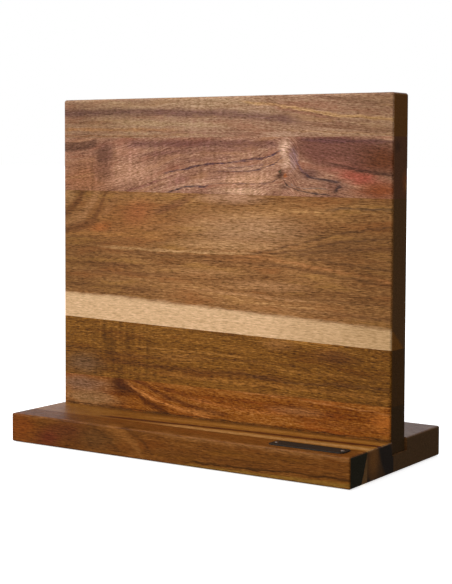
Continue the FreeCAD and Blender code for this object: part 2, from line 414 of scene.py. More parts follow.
@dataclass
class Studio:
    """A white room: a wide pale floor, one soft key light, and soft light from the left and above."""

    floor_half: float = 40.0                       # metres
    paper: Colour = (0.85, 0.85, 0.85)
    paper_glow: float = 0.75                       # keeps the paper pale where little light falls
    key_strength: float = 2.25
    key_spread: float = 50.0                       # degrees
    key_from: tuple[float, float, float] = (-0.50, -0.68, 0.53)
    dark: float = 0.04                             # the sky's brightness between the glows
    glows: tuple[Glow, ...] = (
        Glow((-0.55, -0.80, 0.10), 0.56, -0.35),
        Glow((-0.25, 0.05, 1.0), 0.46, -0.10),
        Glow((-0.65, 0.76, 0.15), 0.46, 0.05, (0.86, 0.98, 1.16)),
    )

    def floor(self) -> None:
        """The floor, a single wide lit sheet that the pads stand on."""
        mesh = bpy.data.meshes.new("studio_floor")
        shape = bmesh.new()
        bmesh.ops.create_grid(shape, x_segments=1, y_segments=1, size=self.floor_half)
        shape.to_mesh(mesh)
        shape.free()
        floor = bpy.data.objects.new("studio_floor", mesh)
        floor.visible_diffuse = False
        floor.visible_glossy = False
        bpy.context.scene.collection.objects.link(floor)
        graph = Finish("studio_paper")
        mesh.materials.append(graph.finish(
            Base_Color=self.paper, Roughness=0.9, Specular_IOR_Level=0.0,
            Emission_Color=(1.0, 1.0, 1.0), Emission_Strength=self.paper_glow))

    def key(self) -> None:
        """The key light, a very wide sun from the front left and above."""
        data = bpy.data.lights.new("key_light", "SUN")
        data.energy = self.key_strength
        data.angle = math.radians(self.key_spread)
        light = bpy.data.objects.new("key_light", data)
        light.matrix_world = Vector(self.key_from).to_track_quat("Z", "Y").to_matrix().to_4x4()
        bpy.context.scene.collection.objects.link(light)

    def sky(self) -> None:
        """A backdrop that is white to look at, and the dimmer soft glows that light the object."""
        world = bpy.data.worlds.new("studio_sky")
        world.use_nodes = True
        tree = world.node_tree
        tree.nodes.clear()
        output = tree.nodes.new("ShaderNodeOutputWorld")
        lit, seen = (tree.nodes.new("ShaderNodeBackground") for _ in range(2))
        coordinates = tree.nodes.new("ShaderNodeTexCoord")
        total = None
        for glow in self.glows:
            aim = tree.nodes.new("ShaderNodeVectorMath")
            aim.operation = "DOT_PRODUCT"
            aim.inputs[1].default_value = Vector(glow.towards).normalized()
            tree.links.new(coordinates.outputs["Generated"], aim.inputs[0])
            fall = tree.nodes.new("ShaderNodeMapRange")
            fall.interpolation_type = "SMOOTHSTEP"
            fall.inputs["From Min"].default_value = glow.reach
            fall.inputs["To Max"].default_value = glow.strength
            tree.links.new(aim.outputs["Value"], fall.inputs["Value"])
            join = tree.nodes.new("ShaderNodeVectorMath")
            join.operation = "MULTIPLY_ADD"
            join.inputs[1].default_value = glow.tint
            join.inputs[2].default_value = (self.dark, self.dark, self.dark)
            tree.links.new(fall.outputs["Result"], join.inputs[0])
            if total:
                tree.links.new(total, join.inputs[2])
            total = join.outputs[0]
        tree.links.new(total, lit.inputs["Color"])
        seen.inputs["Color"].default_value = (1.0, 1.0, 1.0, 1.0)
        path = tree.nodes.new("ShaderNodeLightPath")
        choose = tree.nodes.new("ShaderNodeMixShader")
        tree.links.new(path.outputs["Is Camera Ray"], choose.inputs[0])
        tree.links.new(lit.outputs[0], choose.inputs[1])
        tree.links.new(seen.outputs[0], choose.inputs[2])
        tree.links.new(choose.outputs[0], output.inputs["Surface"])
        bpy.context.scene.world = world

    def build(self) -> None:
        """Sets up the floor, the light and the sky."""
        self.floor()
        self.key()
        self.sky()
        bpy.context.scene.view_settings.view_transform = "Standard"
        LOG.info("studio ready")


# ---------------------------------------------------------------- wood


BREAKS = (0.38, 0.58)       # the coarse grain at which a broken streak is faint, and is whole


@dataclass(frozen=True)
class Spot:
    """A place inside a stave, as sockets in millimetres.

    Attributes:
        along: the place along the grain.
        across: the place across the grain on the stave's face.
        deep: how far it lies behind the face.
        swayed: the place along, made a little uneven.
        ragged: the place across, made a little uneven.
        grain: a coarse grain from 0 to 1 that breaks marks up.
    """

    along: Socket
    across: Socket
    deep: Socket
    swayed: Socket
    ragged: Socket
    grain: Socket

    def masked(self, graph: Graph, mark: "Mark") -> Socket:
        """How strongly a mark shows at this place.

        Args:
            graph: the material's graph.
            mark: the mark, whose nodes go into a group of their own.

        Returns:
            A value from 0 to 1.
        """
        values = {item.name: getattr(self, item.name) for item in fields(self)}
        return graph.nested(type(mark).__name__.lower(), values,
                            lambda inner, own: mark.mask(inner, Spot(**own)))


@dataclass(frozen=True)
class Streak:
    """A soft coloured band that follows the grain on a stave's face; a few are painted shade or a painted
    highlight.

    Attributes:
        path: (along, across) places in millimetres that its middle goes through.
        width: its full width.
        colour: what it turns the wood towards.
        strength: how far it turns it, from 0 to 1.
        soft: the share of its half width over which it fades.
        fade: the length over which each end fades.
        broken: how much the grain breaks it up, from 0 to 1.
    """

    path: tuple[tuple[float, float], ...]
    width: float
    colour: Colour
    strength: float = 0.6
    soft: float = 0.9
    fade: float = 12.0
    broken: float = 0.3

    def mask(self, graph: Graph, spot: Spot) -> Socket:
        """How strongly the streak shows at a place.

        Args:
            graph: the graph of the mark's own group.
            spot: the place inside the stave.

        Returns:
            A value from 0 to 1.
        """
        half = self.width / 2
        away = graph.math("ABSOLUTE", graph.subtract(spot.ragged, graph.course(spot.along, self.path)))
        body = graph.fade(away, half * (1 - self.soft), half)
        first, last = self.path[0][0], self.path[-1][0]
        start = graph.step(spot.swayed, first - self.fade / 2, first + self.fade / 2)
        end = graph.fade(spot.swayed, last - self.fade / 2, last + self.fade / 2)
        grain = graph.scaled(graph.step(spot.grain, *BREAKS), self.broken, 1.0 - self.broken)
        return graph.scaled(graph.times(graph.times(body, start), graph.times(end, grain)), self.strength)


@dataclass(frozen=True)
class Blot:
    """A soft coloured patch on a stave's face.

    Attributes:
        centre: its middle, (along, across), in millimetres.
        radii: its half length and half height.
        colour: what it turns the wood towards.
        strength: how far it turns it, from 0 to 1.
        slant: how far its long axis climbs, in degrees.
        soft: the share of its radius over which it fades.
    """

    centre: tuple[float, float]
    radii: tuple[float, float]
    colour: Colour
    strength: float = 0.5
    slant: float = 0.0
    soft: float = 0.9

    def mask(self, graph: Graph, spot: Spot) -> Socket:
        """How strongly the patch shows at a place.

        Args:
            graph: the graph of the mark's own group.
            spot: the place inside the stave.

        Returns:
            A value from 0 to 1.
        """
        rise, run = math.sin(math.radians(self.slant)), math.cos(math.radians(self.slant))
        length, height = self.radii
        from_x = graph.subtract(spot.swayed, self.centre[0])
        from_y = graph.subtract(spot.ragged, self.centre[1])
        long_way = graph.add(graph.scaled(from_x, run / length), graph.scaled(from_y, rise / length))
        short_way = graph.add(graph.scaled(from_x, -rise / height), graph.scaled(from_y, run / height))
        away = graph.distance(long_way, short_way)
        return graph.scaled(graph.fade(away, 1.0 - self.soft, 1.0), self.strength)


@dataclass(frozen=True)
class Sapwood:
    """The pale outer wood along one edge of a stave.

    Attributes:
        path: (along, across) places of its inner edge, on the face.
        colour: its colour.
        slope: how far its inner edge moves down for each millimetre behind the face.
        end: its colour on the sawn end.
        drift: (along, amount) of how much darker it grows along the stave, from 0 to 1; towards the
            right-hand end this is painted shade where the light falls off.
        soft: the width over which the colour changes.
    """

    path: tuple[tuple[float, float], ...]
    colour: Colour
    slope: float
    end: Colour
    drift: tuple[tuple[float, float], ...] = ((-150.0, 0.0), (150.0, 0.0))
    soft: float = 4.0

    def mask(self, graph: Graph, spot: Spot) -> Socket:
        """How far a place lies in the pale wood, from 0 to 1."""
        inner = graph.subtract(graph.course(spot.along, self.path), graph.scaled(spot.deep, self.slope))
        return graph.fade(graph.subtract(spot.ragged, inner), -self.soft / 2, self.soft / 2)


Mark = Union[Streak, Blot, Sapwood]


@dataclass(frozen=True)
class Figure:
    """How one stave was sawn, and its colours.

    Attributes:
        tones: its colours from darkest to palest.
        pith: the tree's middle line, (across, deep) from the stave's own middle and face.
        lean: how far that line moves deeper for each millimetre along.
        ring: the usual spacing of growth bands.
        wander: how far the bands stray.
        flow: (along, across) places of one line of the grain.
        contrast: how strongly the growth bands show.
        fibre: how strongly the fine fibres show.
        dash: the usual length of a pore and of the finest fibres.
        fleck: how strongly the short flecks show.
        pores: how strongly the open pores show.
        ripple: how strongly the cross figure shows, and where along the stave it starts and ends.
        red: a colour that some parts turn towards.
        redness: how far they do.
        gold: a colour that other parts turn towards as far.
        seed: sets one stave's noise apart from another's.
        drift: (along, amount) of how much darker the stave grows towards its ends, from 0 to 1: partly its
            own tone, and towards the right-hand end painted shade where the light falls off.
        end: the colour of its sawn ends.
        sapwood: its pale edge, if it has one.
        marks: its own streaks and patches; a few are painted shade at the board's foot or a painted
            highlight.
        end_marks: patches on its right-hand end, placed by (across, deep).
    """

    tones: tuple[Colour, ...]
    pith: tuple[float, float] = (0.0, 60.0)
    lean: float = 0.02
    ring: float = 7.0
    wander: float = 6.0
    flow: tuple[tuple[float, float], ...] = ((-150.0, 0.0), (150.0, 0.0))
    contrast: float = 1.0
    fibre: float = 1.0
    dash: float = 5.5
    fleck: float = 1.0
    pores: float = 1.0
    ripple: tuple[float, float, float] = (0.05, -150.0, 150.0)
    red: Colour = tone(150, 82, 48)
    redness: float = 0.3
    gold: Colour = tone(170, 120, 62)
    seed: float = 0.0
    drift: tuple[tuple[float, float], ...] = ((-150.0, 0.0), (150.0, 0.0))
    end: Colour = tone(110, 78, 44)
    sapwood: Union[Sapwood, None] = None
    marks: tuple[Union[Streak, Blot], ...] = ()
    end_marks: tuple[Blot, ...] = ()


@dataclass(frozen=True)
class Lump:
    """The usual lump of a noise that is drawn out along the grain.

    Attributes:
        length: its length along the grain, in millimetres.
        height: its height and depth.
        detail: how many finer layers it carries.
        seed: sets the noise apart from others in the same stave.
    """

    length: float
    height: float
    detail: float = 2.0
    seed: float = 0.0


FLECK = Lump(2.6, 1.1, detail=1.0, seed=40.0)
LONG_FIBRE = Lump(28.0, 1.0, seed=28.0)
BLUSH = Lump(60.0, 9.0, detail=3.0, seed=7.0)       # the parts that turn red or gold
PORE_HEIGHT = 0.6
PORE_SEED = 21.0
BAND_CONTRAST = 1.7
FLECK_CONTRAST = 1.2
LONG_FIBRE_CONTRAST = 1.3
SHORT_FIBRE_CONTRAST = 1.8
MARK_CONTRAST = 1.2         # how strongly the fine grain shows through marks, sapwood and ends
END_FACING = (0.72, 0.97)   # how squarely a surface faces along the grain where end grain starts, and is full
RIGHT_FACING = (0.5, 0.9)   # the same, for what only the right-hand end shows
RIPPLE_EDGE = 10.0          # half the length over which the cross figure fades in or out


@dataclass
class WoodFinish:
    """Oiled and thinly lacquered acacia, worked out for one stave.

    Attributes:
        name: the material's name.
        cut: which way the stave lies.
        figure: how it was sawn and coloured.
        face: the place of the stave's face, in millimetres along the way it looks.
        middle: the stave's middle across the grain.
        gloss: the strength of the lacquer's sheen.
        mark_depth: how deep the face's own marks go.
        rough: the roughness in a pore; wood between pores is smoother and end grain rougher.
        smoother: how much smoother.
        rougher: how much rougher.
        pore_depth: how deep the pores look, in millimetres.
    """

    name: str
    cut: Cut
    figure: Figure
    face: float
    middle: float
    gloss: float = 0.10
    mark_depth: float = 9.0
    rough: float = 0.5
    smoother: float = 0.14
    rougher: float = 0.45
    pore_depth: float = 0.05

    def build(self) -> bpy.types.Material:
        """Makes the material.

        Returns:
            The material, for every piece that is cut from this stave.
        """
        graph = Finish(self.name)
        spot = self._spot(graph)
        colour, relief, texture = self._ground(graph, spot)
        colour = self._marks(graph, colour, texture, spot)
        colour = self._end_grain(graph, colour, texture, spot)
        graph.put(graph.shader.inputs["Base Color"], colour)
        end = graph.step(graph.math("ABSOLUTE", graph.facing()[0]), *END_FACING)
        rough = graph.add(graph.scaled(relief, -self.smoother, self.rough), graph.scaled(end, self.rougher))
        graph.put(graph.shader.inputs["Roughness"], rough)
        graph.bump(relief, self.pore_depth, 0.5)
        return graph.finish(Specular_IOR_Level=self.gloss, IOR=1.5)

    def _spot(self, graph: Graph) -> Spot:
        """Finds the place inside the stave, by the grain.

        Args:
            graph: the material's graph.

        Returns:
            The place.
        """
        x, y, z = graph.place_mm()
        if self.cut is Cut.UPRIGHT:
            along, across, deep = x, z, graph.subtract(y, self.face)
        else:
            along, across, deep = x, y, graph.scaled(z, -1.0, self.face)
        seed = self.figure.seed
        grain = graph.noise(graph.vector(graph.scaled(along, 1 / 8, seed),
                                         graph.scaled(across, 1 / 1.1), deep),
                            detail=2.0, rough=0.6)
        sway = graph.noise(graph.vector(graph.scaled(along, 1 / 14), graph.scaled(across, 1 / 4), seed),
                           detail=3.0)
        ragged = graph.add(across, graph.scaled(grain, 1.6, -0.8))
        return Spot(along, across, deep, graph.add(along, graph.scaled(sway, 14.0, -7.0)),
                    graph.add(ragged, graph.scaled(sway, 4.0, -2.0)), grain)

    def _layer(self, graph: Graph, spot: Spot, across: Socket, lump: Lump) -> Socket:
        """Noise drawn out along the grain.

        Args:
            graph: the material's graph.
            spot: the place inside the stave.
            across: the place across the grain that the noise follows.
            lump: its usual lump.

        Returns:
            The noise, about 0.
        """
        seed = self.figure.seed
        vector = graph.vector(graph.scaled(spot.along, 1 / lump.length, seed + lump.seed),
                              graph.scaled(across, 1 / lump.height),
                              graph.scaled(spot.deep, 1 / lump.height, seed))
        return graph.subtract(graph.noise(vector, detail=lump.detail, rough=0.6), 0.5)

    def _flowed(self, graph: Graph, spot: Spot) -> Socket:
        """Straightens the grain.

        Args:
            graph: the material's graph.
            spot: the place inside the stave.

        Returns:
            The place across, counted from a line of the grain that bends and strays.
        """
        figure = self.figure
        stray = graph.noise(
            graph.vector(graph.scaled(spot.along, 1 / 80, figure.seed), graph.scaled(spot.across, 1 / 30),
                         graph.scaled(spot.deep, 1 / 30)), detail=3.0)
        strayed = graph.add(spot.across, graph.scaled(stray, 2 * figure.wander, -figure.wander))
        return graph.subtract(strayed, graph.course(spot.along, figure.flow))

    def _bands(self, graph: Graph, spot: Spot, flowed: Socket) -> Socket:
        """The growth bands, rings round the pith.

        Args:
            graph: the material's graph.
            spot: the place inside the stave.
            flowed: the place across the straightened grain.

        Returns:
            Their shade, about 0.5.
        """
        figure = self.figure
        from_pith = graph.subtract(flowed, self.middle + figure.pith[0])
        below_pith = graph.subtract(spot.deep, graph.scaled(spot.along, figure.lean, figure.pith[1]))
        radius = graph.distance(from_pith, below_pith)
        bands = graph.noise(
            graph.vector(graph.scaled(radius, 1 / figure.ring),
                         graph.scaled(spot.along, 1 / 260, figure.seed),
                         figure.seed), detail=4.0, rough=0.62)
        return graph.scaled(graph.subtract(bands, 0.5), BAND_CONTRAST * figure.contrast, 0.5)

    def _fibres(self, graph: Graph, spot: Spot, flowed: Socket) -> Socket:
        """The flecks and the long and short fibres.

        Args:
            graph: the material's graph.
            spot: the place inside the stave.
            flowed: the place across the straightened grain.

        Returns:
            Their shade, about 0.
        """
        figure = self.figure
        short = Lump(figure.dash, PORE_HEIGHT, seed=figure.dash)
        fine = graph.scaled(self._layer(graph, spot, spot.across, FLECK), FLECK_CONTRAST * figure.fleck)
        for lump, strength in ((LONG_FIBRE, LONG_FIBRE_CONTRAST), (short, SHORT_FIBRE_CONTRAST)):
            layer = self._layer(graph, spot, flowed, lump)
            fine = graph.add(fine, graph.scaled(layer, strength * figure.fibre))
        return fine

    def _ripple(self, graph: Graph, spot: Spot) -> Socket:
        """The cross figure, light and dark bars over part of the stave.

        Args:
            graph: the material's graph.
            spot: the place inside the stave.

        Returns:
            Its brightness, about 1.
        """
        amount, start, end = self.figure.ripple
        wave = graph.noise(
            graph.vector(graph.scaled(spot.along, 1 / 4.2, self.figure.seed),
                         graph.scaled(spot.across, 1 / 30),
                         graph.scaled(spot.deep, 1 / 20)), detail=1.0)
        place = graph.times(graph.step(spot.swayed, start - RIPPLE_EDGE, start + RIPPLE_EDGE),
                            graph.fade(spot.swayed, end - RIPPLE_EDGE, end + RIPPLE_EDGE))
        wave = graph.times(graph.scaled(wave, 2.0, -1.0), graph.scaled(place, amount))
        return graph.add(wave, 1.0)

    def _ground(self, graph: Graph, spot: Spot) -> tuple[Socket, Socket, Socket]:
        """The growth bands and the fine grain.

        Args:
            graph: the material's graph.
            spot: the place inside the stave.

        Returns:
            The wood's colour before marks, its relief from 0 in a pore to 1, and the brightness of its
            fine grain, about 1.
        """
        figure = self.figure
        flowed = self._flowed(graph, spot)
        fine = self._fibres(graph, spot, flowed)
        shade = graph.add(self._bands(graph, spot, flowed), fine)
        last = len(figure.tones) - 1
        colour = graph.ramp(shade, [(index / last, item) for index, item in enumerate(figure.tones)])
        blush = self._layer(graph, spot, flowed, BLUSH)
        colour = graph.mix(graph.scaled(graph.step(blush, 0.0, 0.2), figure.redness), colour, figure.red)
        colour = graph.mix(graph.scaled(graph.fade(blush, -0.2, -0.02), figure.redness), colour, figure.gold)
        pore = self._layer(graph, spot, flowed, Lump(figure.dash, PORE_HEIGHT, seed=PORE_SEED))
        relief = graph.step(pore, -0.15, 0.02)
        dark = graph.scaled(relief, 0.45 * figure.pores, 1.0 - 0.38 * figure.pores)
        dark = graph.times(dark, self._ripple(graph, spot))
        texture = graph.times(graph.scaled(fine, MARK_CONTRAST, 1.0), dark)
        return graph.mix(1.0, colour, graph.warm(dark), "MULTIPLY"), relief, texture

    def _marks(self, graph: Graph, colour: Socket, texture: Socket, spot: Spot) -> Socket:
        """Lays the stave's own streaks, patches and sapwood over its ground, and darkens them along the
        stave, partly with painted shade towards the right-hand end.

        Args:
            graph: the material's graph.
            colour: the ground's colour.
            texture: the brightness of the fine grain.
            spot: the place inside the stave.

        Returns:
            The colour of the stave's faces.
        """
        figure = self.figure
        near_face = graph.fade(spot.deep, 0.45 * self.mark_depth, self.mark_depth)
        grain = graph.warm(texture)
        for mark in figure.marks:
            tint = graph.mix(1.0, mark.colour, grain, "MULTIPLY")
            colour = graph.mix(graph.times(spot.masked(graph, mark), near_face), colour, tint)
        # darker along the stave; towards the right-hand end this is painted shade where the light falls off
        colour = self._drifted(graph, colour, spot, figure.drift)
        if figure.sapwood:
            pale = figure.sapwood.colour
            pale = graph.mix(0.5, pale, graph.mix(1.0, pale, grain, "MULTIPLY"))
            # the sapwood darkens the same way, towards the right-hand end with painted shade
            pale = self._drifted(graph, pale, spot, figure.sapwood.drift)
            colour = graph.mix(spot.masked(graph, figure.sapwood), colour, pale)
        return colour

    @staticmethod
    def _drifted(graph: Graph, colour: Socket, spot: Spot, drift: Sequence[tuple[float, float]]) -> Socket:
        """A colour that grows darker along the stave: partly the wood's own tone, partly painted shade
        towards the right-hand end.
        """
        return graph.mix(graph.course(spot.swayed, drift), colour, graph.mix(1.0, colour, FULL_DRIFT_AND_PAINTED_SHADE, "MULTIPLY"))

    def _end_grain(self, graph: Graph, colour: Socket, texture: Socket, spot: Spot) -> Socket:
        """Turns the sawn ends, which drink more oil than the faces, to their own colour and patches.

        Args:
            graph: the material's graph.
            colour: the colour of the faces.
            texture: the brightness of the fine grain.
            spot: the place inside the stave.

        Returns:
            The colour of faces and ends.
        """
        figure = self.figure
        facing = graph.facing()[0]
        end = graph.step(graph.math("ABSOLUTE", facing), *END_FACING)
        dark = figure.end
        place = Spot(spot.across, spot.deep, spot.deep, spot.across, spot.deep, spot.grain)
        right = graph.step(facing, *RIGHT_FACING)
        for mark in figure.end_marks:
            dark = graph.mix(graph.times(place.masked(graph, mark), right), dark, mark.colour)
        if figure.sapwood:
            dark = graph.mix(spot.masked(graph, figure.sapwood), dark, figure.sapwood.end)
        dark = graph.mix(1.0, dark, graph.warm(graph.scaled(texture, 0.5, 0.5)), "MULTIPLY")
        return graph.mix(end, colour, dark)


# ---------------------------------------------------------------- staves of the board and base

PLUM = tone(108, 70, 62)
CREAM = tone(214, 174, 130)
KHAKI = tone(176, 142, 106)

STAVE_5 = Figure(
    tones=(tone(108, 68, 48), tone(136, 94, 69), tone(162, 122, 95), tone(178, 140, 109),
           tone(200, 162, 127)),
    seed=1.0, redness=0.4, red=tone(152, 94, 66), gold=tone(178, 134, 88), pith=(-14.0, 90.0), lean=0.03,
    ring=5.0, wander=3.0, flow=((-150, 0), (0, 0), (60, -4), (150, -13)), contrast=1.0, fibre=0.85,
    dash=3.8, fleck=0.6, pores=0.8, ripple=(0.2, -150.0, 90.0), end=tone(146, 94, 41),
    # darker along the stave; the darkening at the right-hand end is painted shade where the light falls off
    drift=((-150, 0.3), (-113, 0.5), (-89, 0.45), (-65, 0.35), (-30, 0.05), (55, 0), (90, 0.05),
           (127, 0.4), (150, 0.5)),
    marks=(
        Blot((0, 264), (80, 7), KHAKI, 0.6),
        Streak(((-165, 257.5), (-90, 258.5), (-30, 257), (22, 255), (74, 249.5)), 10.0, PLUM, 0.85,
               fade=30.0),
        Streak(((-92, 250.5), (-40, 248.5), (10, 247)), 6.0, tone(184, 150, 112), 0.6, fade=30.0),
        Streak(((-165, 251), (-120, 251), (-96, 249)), 4.0, tone(132, 84, 54), 0.6, fade=20.0),
        Streak(((-165, 245.5), (-80, 244.5), (-40, 244)), 4.0, tone(176, 118, 66), 0.6, fade=30.0),
        Streak(((-165, 240), (-80, 239.6), (-40, 240)), 2.6, tone(148, 96, 58), 0.6, fade=30.0),
        Streak(((-66, 243.5), (0, 241.5), (40, 240)), 4.0, tone(136, 90, 70), 0.6, fade=30.0),
        Blot((58, 240), (24, 4), tone(186, 146, 118), 0.6),
        Blot((40, 258), (36, 5), tone(180, 144, 112), 0.5),
        Streak(((24, 264.5), (70, 259), (110, 253), (165, 249)), 4.0, tone(196, 150, 98), 0.8, fade=16.0,
               broken=0.3),
        Streak(((44, 262), (70, 256.5), (98, 251)), 4.0, tone(138, 84, 62), 0.6, fade=20.0),
        Streak(((96, 266), (165, 260)), 5.0, tone(130, 92, 66), 0.6, fade=20.0),
        Streak(((70, 248), (110, 245), (165, 241)), 5.0, tone(126, 82, 56), 0.65, fade=20.0),
        Streak(((60, 243), (110, 241), (165, 238.5)), 2.0, tone(186, 140, 96), 0.4, fade=20.0),
    ))

STAVE_4 = Figure(
    tones=(tone(96, 57, 42), tone(128, 84, 63), tone(156, 109, 84), tone(175, 129, 101), tone(208, 162, 130)),
    seed=2.0, redness=0.5, red=tone(148, 84, 60), gold=tone(172, 120, 80), pith=(26.0, 70.0), lean=0.02,
    ring=4.5, wander=3.0,
    flow=((-150, -22), (-100, -14), (-60, -4), (-10, 7), (30, 10), (58, 18), (72, 8), (104, 2), (150, -6)),
    contrast=0.9, fibre=0.9, dash=3.4, fleck=0.8, pores=0.6, ripple=(0.3, -140.0, 66.0),
    end=tone(132, 86, 57),
    # darker along the stave; the darkening at the right-hand end is painted shade where the light falls off
    drift=((-150, 0.15), (-100, 0.1), (-80, 0), (90, 0), (127, 0.3), (150, 0.4)),
    marks=(
        Blot((-125, 206), (50, 26), tone(152, 98, 62), 0.85, slant=8.0),
        Streak(((-165, 214), (-124, 217), (-104, 224)), 3.0, tone(118, 72, 48), 0.5, fade=10.0),
        Streak(((-165, 205), (-120, 209), (-96, 214)), 3.0, tone(172, 120, 78), 0.6, fade=10.0),
        Blot((-84, 228), (17, 10), tone(178, 124, 98), 0.6),
        Blot((-80, 210), (44, 14), tone(190, 140, 108), 0.7, slant=6.0),
        Blot((-42, 208), (22, 7), tone(194, 146, 112), 0.6, slant=10.0),
        Streak(((-165, 229.5), (-132, 231.5), (-114, 235)), 10.0, tone(96, 60, 42), 0.95, soft=0.6, fade=6.0),
        Blot((-107, 226), (13, 14), tone(108, 68, 52), 0.85, slant=-60.0, soft=0.7),
        Blot((-108, 212), (16, 12), tone(122, 78, 58), 0.75),
        Streak(((-84, 233.5), (-30, 233.5), (20, 233.5), (54, 233)), 10.0, tone(106, 64, 56), 0.8, fade=14.0),
        Streak(((-70, 225), (-30, 227.5), (30, 229)), 6.0, tone(122, 78, 64), 0.75, fade=30.0),
        Streak(((-30, 221), (0, 222), (20, 224)), 4.0, tone(128, 84, 70), 0.6, fade=20.0),
        Blot((26, 215), (26, 4), tone(190, 146, 118), 0.6, slant=4.0),
        Blot((26, 206), (42, 8), tone(202, 152, 116), 0.75, slant=4.0),
        Blot((22, 198), (36, 4.4), tone(208, 162, 126), 0.85),
        Blot((-34, 206), (16, 6), tone(140, 90, 74), 0.75, slant=10.0),
        Blot((0, 208), (16, 5), tone(150, 104, 84), 0.6),
        Streak(((-48, 211), (-26, 215), (-10, 217.5), (20, 220), (42, 223), (60, 230)), 2.0,
               tone(70, 46, 56), 0.95, soft=0.8, fade=10.0, broken=0.5),
        Streak(((2, 212.5), (28, 213.5), (46, 217), (60, 225)), 1.8, tone(76, 50, 54), 0.95, fade=8.0,
               broken=0.55),
        Streak(((10, 215.5), (34, 217), (54, 222)), 1.3, tone(96, 62, 60), 0.7, fade=8.0, broken=0.5),
        Streak(((-88, 195.5), (-60, 203.5), (-36, 210)), 2.2, tone(116, 62, 54), 0.8, fade=12.0, broken=0.4),
        Streak(((-44, 196.5), (-34, 199.5), (-22, 201), (-10, 200.5)), 2.6, tone(54, 38, 44), 0.95, fade=6.0,
               broken=0.5),
        Streak(((-14, 200.5), (6, 203.5), (42, 204), (58, 211)), 1.5, tone(80, 50, 48), 0.85, fade=8.0,
               broken=0.7),
        Blot((112, 227), (64, 17), tone(114, 68, 54), 0.95, slant=-6.0, soft=0.5),
        Blot((142, 222), (32, 16), tone(106, 56, 26), 0.9),
        Blot((102, 218), (18, 8), tone(146, 92, 72), 0.75),
        Streak(((74, 236), (110, 235), (165, 234)), 5.0, tone(92, 56, 54), 0.7),
        Blot((80, 211), (16, 7), tone(108, 70, 58), 0.9),
        Blot((100, 203), (22, 7), tone(112, 70, 54), 0.8),
        Blot((122, 209), (28, 9), tone(164, 82, 62), 0.95, slant=-12.0),
        Blot((140, 200), (34, 9), tone(138, 70, 32), 0.95),
        Streak(((94, 219), (124, 214), (165, 208)), 5.0, tone(72, 42, 30), 0.85, fade=24.0),
        Blot((82, 198.5), (22, 4), tone(174, 126, 92), 0.8),
        Blot((60.5, 230), (8, 10), tone(220, 176, 146), 0.85),
        Blot((62, 220), (7, 9), tone(208, 164, 136), 0.8, slant=-70.0),
        Blot((68, 222), (4, 12), tone(150, 116, 112), 0.6, soft=0.7),
        Blot((57, 211), (6, 4.5), tone(82, 50, 34), 0.95, slant=20.0),
        Blot((62, 210.4), (3.0, 2.2), tone(170, 92, 44), 0.9),
        Blot((56, 213), (2.0, 2.0), tone(60, 62, 40), 0.8),
        Streak(((68, 230), (70, 220), (76, 212)), 5.0, tone(92, 66, 76), 0.7, fade=6.0),
        Streak(((76, 211.5), (86, 208), (96, 206.6), (106, 205.5)), 2.8, tone(54, 38, 42), 0.95, fade=6.0,
               broken=0.3),
        Streak(((58, 208), (64, 202), (76, 198.5), (98, 196)), 2.4, tone(60, 42, 38), 0.95, fade=6.0,
               broken=0.4),
        Streak(((62, 205), (72, 202), (96, 200)), 1.2, tone(128, 104, 90), 0.8, fade=6.0, broken=0.3),
        Blot((104, 201), (3.4, 4.4), tone(52, 36, 36), 0.85),
        Blot((60, 201.5), (4.5, 3.5), tone(78, 48, 34), 0.8),
    ),
    end_marks=(
        Blot((206, 19), (12, 8), tone(176, 104, 56), 0.7),
        Blot((203, 20), (4, 2), tone(240, 170, 90), 0.6),
        Blot((209, 20), (2, 1.5), tone(226, 110, 60), 0.6),
        Blot((231, 6), (7, 8), tone(84, 56, 40), 0.5),
    ))

